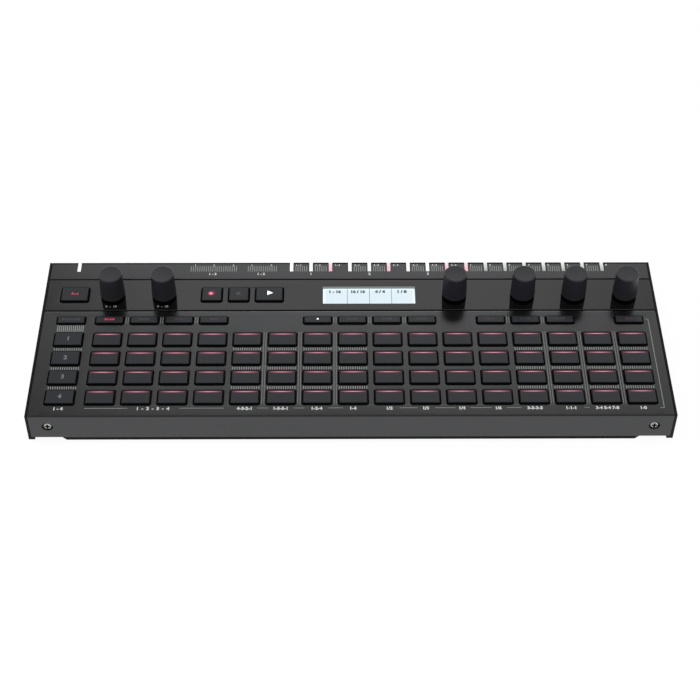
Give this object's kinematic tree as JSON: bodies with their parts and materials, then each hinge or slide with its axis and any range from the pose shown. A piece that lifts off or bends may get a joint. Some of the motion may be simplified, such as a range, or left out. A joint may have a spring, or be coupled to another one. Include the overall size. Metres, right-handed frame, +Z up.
{
  "type": "music sequencer",
  "caption": "Desktop step sequencer with a field of sprung light-up pads, mode and transport buttons, endless knobs, a display strip and a row of rear patch jacks.",
  "frame": {"origin": "centre of the footprint, on the surface that the feet stand on", "axes": "+X to the player's right along the long side, +Y to the rear jacks, +Z up out of the deck"},
  "size_m": [0.34, 0.117, 0.039],
  "materials": {
    "deck_metal": "dark grey anodised, satin",
    "strip_gloss": "dark grey acrylic, polished",
    "case_black": "black powder coat",
    "side_black": "black, fine grain",
    "board": "green circuit board",
    "switch_plastic": "black moulding",
    "encoder_metal": "plain",
    "display_glass": "lit panel",
    "light_guide": "milky, lit from below",
    "jack_plastic": "black moulding",
    "port_steel": "tinned shell",
    "foot_rubber": "matt black",
    "screw_steel": "nickel plated, bright",
    "post_brass": "plain",
    "key_plastic": "dark grey, satin",
    "knob_plastic": "black, fine grain"
  },
  "bodies": {
    "chassis": {"bottom_pan": "case_black", "front_panel": "deck_metal", "control_strip": "strip_gloss", "rear_panel": "deck_metal", "side_plate_left": "side_black", "side_plate_right": "side_black", "jack_plate": "case_black", "panel_board": "board", "jack_board": "board", "tact_switches": "switch_plastic", "encoder_bodies": "encoder_metal", "display_module": "display_glass", "display_holder": "switch_plastic", "light_guides": "light_guide", "mini_jacks": "jack_plastic", "usb_port": "port_steel", "dc_jack": "jack_plastic", "power_switch": "switch_plastic", "rubber_feet": "foot_rubber", "case_screws": "screw_steel", "board_screws": "screw_steel", "standoffs": "post_brass"},
    "step_pads_row_1": {"step_pads_row_1": "key_plastic"},
    "step_pads_row_2": {"step_pads_row_2": "key_plastic"},
    "step_pads_row_3": {"step_pads_row_3": "key_plastic"},
    "step_pads_row_4": {"step_pads_row_4": "key_plastic"},
    "row_button_1": {"row_button_1": "key_plastic"},
    "row_button_2": {"row_button_2": "key_plastic"},
    "row_button_3": {"row_button_3": "key_plastic"},
    "row_button_4": {"row_button_4": "key_plastic"},
    "mode_button_1": {"mode_button_1": "key_plastic"},
    "mode_button_2": {"mode_button_2": "key_plastic"},
    "mode_button_3": {"mode_button_3": "key_plastic"},
    "mode_button_4": {"mode_button_4": "key_plastic"},
    "mode_button_5": {"mode_button_5": "key_plastic"},
    "mode_button_6": {"mode_button_6": "key_plastic"},
    "mode_button_7": {"mode_button_7": "key_plastic"},
    "mode_button_8": {"mode_button_8": "key_plastic"},
    "mode_button_9": {"mode_button_9": "key_plastic"},
    "mode_button_10": {"mode_button_10": "key_plastic"},
    "mode_button_11": {"mode_button_11": "key_plastic"},
    "mode_button_12": {"mode_button_12": "key_plastic"},
    "mode_button_13": {"mode_button_13": "key_plastic"},
    "tap_button": {"tap_button": "key_plastic"},
    "record_button": {"record_button": "key_plastic"},
    "stop_button": {"stop_button": "key_plastic"},
    "play_button": {"play_button": "key_plastic"},
    "knob_1": {"knob_1": "knob_plastic", "encoder_shaft_1": "encoder_metal"},
    "knob_2": {"knob_2": "knob_plastic", "encoder_shaft_2": "encoder_metal"},
    "knob_3": {"knob_3": "knob_plastic", "encoder_shaft_3": "encoder_metal"},
    "knob_4": {"knob_4": "knob_plastic", "encoder_shaft_4": "encoder_metal"},
    "knob_5": {"knob_5": "knob_plastic", "encoder_shaft_5": "encoder_metal"},
    "knob_6": {"knob_6": "knob_plastic", "encoder_shaft_6": "encoder_metal"},
    "power_lever": {"power_lever": "switch_plastic"}
  },
  "joints": [
    {"name": "step_pads_row_1_press", "type": "slide", "parent": "chassis", "child": "step_pads_row_1", "axis": [0, 0, -1], "range_m": [0, 0.0012], "stiffness_N_per_m": 2400, "springref_m": -0.001},
    {"name": "step_pads_row_2_press", "type": "slide", "parent": "chassis", "child": "step_pads_row_2", "axis": [0, 0, -1], "range_m": [0, 0.0012], "stiffness_N_per_m": 2400, "springref_m": -0.001},
    {"name": "step_pads_row_3_press", "type": "slide", "parent": "chassis", "child": "step_pads_row_3", "axis": [0, 0, -1], "range_m": [0, 0.0012], "stiffness_N_per_m": 2400, "springref_m": -0.001},
    {"name": "step_pads_row_4_press", "type": "slide", "parent": "chassis", "child": "step_pads_row_4", "axis": [0, 0, -1], "range_m": [0, 0.0012], "stiffness_N_per_m": 2400, "springref_m": -0.001},
    {"name": "row_button_1_press", "type": "slide", "parent": "chassis", "child": "row_button_1", "axis": [0, 0, -1], "range_m": [0, 0.0012], "stiffness_N_per_m": 500, "springref_m": -0.001},
    {"name": "row_button_2_press", "type": "slide", "parent": "chassis", "child": "row_button_2", "axis": [0, 0, -1], "range_m": [0, 0.0012], "stiffness_N_per_m": 500, "springref_m": -0.001},
    {"name": "row_button_3_press", "type": "slide", "parent": "chassis", "child": "row_button_3", "axis": [0, 0, -1], "range_m": [0, 0.0012], "stiffness_N_per_m": 500, "springref_m": -0.001},
    {"name": "row_button_4_press", "type": "slide", "parent": "chassis", "child": "row_button_4", "axis": [0, 0, -1], "range_m": [0, 0.0012], "stiffness_N_per_m": 500, "springref_m": -0.001},
    {"name": "mode_button_1_press", "type": "slide", "parent": "chassis", "child": "mode_button_1", "axis": [0, 0, -1], "range_m": [0, 0.0012], "stiffness_N_per_m": 400, "springref_m": -0.001},
    {"name": "mode_button_2_press", "type": "slide", "parent": "chassis", "child": "mode_button_2", "axis": [0, 0, -1], "range_m": [0, 0.0012], "stiffness_N_per_m": 400, "springref_m": -0.001},
    {"name": "mode_button_3_press", "type": "slide", "parent": "chassis", "child": "mode_button_3", "axis": [0, 0, -1], "range_m": [0, 0.0012], "stiffness_N_per_m": 400, "springref_m": -0.001},
    {"name": "mode_button_4_press", "type": "slide", "parent": "chassis", "child": "mode_button_4", "axis": [0, 0, -1], "range_m": [0, 0.0012], "stiffness_N_per_m": 400, "springref_m": -0.001},
    {"name": "mode_button_5_press", "type": "slide", "parent": "chassis", "child": "mode_button_5", "axis": [0, 0, -1], "range_m": [0, 0.0012], "stiffness_N_per_m": 400, "springref_m": -0.001},
    {"name": "mode_button_6_press", "type": "slide", "parent": "chassis", "child": "mode_button_6", "axis": [0, 0, -1], "range_m": [0, 0.0012], "stiffness_N_per_m": 400, "springref_m": -0.001},
    {"name": "mode_button_7_press", "type": "slide", "parent": "chassis", "child": "mode_button_7", "axis": [0, 0, -1], "range_m": [0, 0.0012], "stiffness_N_per_m": 400, "springref_m": -0.001},
    {"name": "mode_button_8_press", "type": "slide", "parent": "chassis", "child": "mode_button_8", "axis": [0, 0, -1], "range_m": [0, 0.0012], "stiffness_N_per_m": 400, "springref_m": -0.001},
    {"name": "mode_button_9_press", "type": "slide", "parent": "chassis", "child": "mode_button_9", "axis": [0, 0, -1], "range_m": [0, 0.0012], "stiffness_N_per_m": 400, "springref_m": -0.001},
    {"name": "mode_button_10_press", "type": "slide", "parent": "chassis", "child": "mode_button_10", "axis": [0, 0, -1], "range_m": [0, 0.0012], "stiffness_N_per_m": 400, "springref_m": -0.001},
    {"name": "mode_button_11_press", "type": "slide", "parent": "chassis", "child": "mode_button_11", "axis": [0, 0, -1], "range_m": [0, 0.0012], "stiffness_N_per_m": 400, "springref_m": -0.001},
    {"name": "mode_button_12_press", "type": "slide", "parent": "chassis", "child": "mode_button_12", "axis": [0, 0, -1], "range_m": [0, 0.0012], "stiffness_N_per_m": 400, "springref_m": -0.001},
    {"name": "mode_button_13_press", "type": "slide", "parent": "chassis", "child": "mode_button_13", "axis": [0, 0, -1], "range_m": [0, 0.0012], "stiffness_N_per_m": 400, "springref_m": -0.001},
    {"name": "tap_button_press", "type": "slide", "parent": "chassis", "child": "tap_button", "axis": [0, 0, -1], "range_m": [0, 0.0012], "stiffness_N_per_m": 500, "springref_m": -0.001},
    {"name": "record_button_press", "type": "slide", "parent": "chassis", "child": "record_button", "axis": [0, 0, -1], "range_m": [0, 0.0012], "stiffness_N_per_m": 500, "springref_m": -0.001},
    {"name": "stop_button_press", "type": "slide", "parent": "chassis", "child": "stop_button", "axis": [0, 0, -1], "range_m": [0, 0.0012], "stiffness_N_per_m": 500, "springref_m": -0.001},
    {"name": "play_button_press", "type": "slide", "parent": "chassis", "child": "play_button", "axis": [0, 0, -1], "range_m": [0, 0.0012], "stiffness_N_per_m": 500, "springref_m": -0.001},
    {"name": "knob_1_turn", "type": "hinge", "parent": "chassis", "child": "knob_1", "pos_m": [-0.132, 0.031, 0.0245], "axis": [0, 0, 1], "continuous": true},
    {"name": "knob_2_turn", "type": "hinge", "parent": "chassis", "child": "knob_2", "pos_m": [-0.1035, 0.031, 0.0245], "axis": [0, 0, 1], "continuous": true},
    {"name": "knob_3_turn", "type": "hinge", "parent": "chassis", "child": "knob_3", "pos_m": [0.058, 0.031, 0.0245], "axis": [0, 0, 1], "continuous": true},
    {"name": "knob_4_turn", "type": "hinge", "parent": "chassis", "child": "knob_4", "pos_m": [0.096, 0.031, 0.0245], "axis": [0, 0, 1], "continuous": true},
    {"name": "knob_5_turn", "type": "hinge", "parent": "chassis", "child": "knob_5", "pos_m": [0.1245, 0.031, 0.0245], "axis": [0, 0, 1], "continuous": true},
    {"name": "knob_6_turn", "type": "hinge", "parent": "chassis", "child": "knob_6", "pos_m": [0.153, 0.031, 0.0245], "axis": [0, 0, 1], "continuous": true},
    {"name": "power_lever_slide", "type": "slide", "parent": "chassis", "child": "power_lever", "axis": [-1, 0, 0], "range_m": [0, 0.004]}
  ]
}
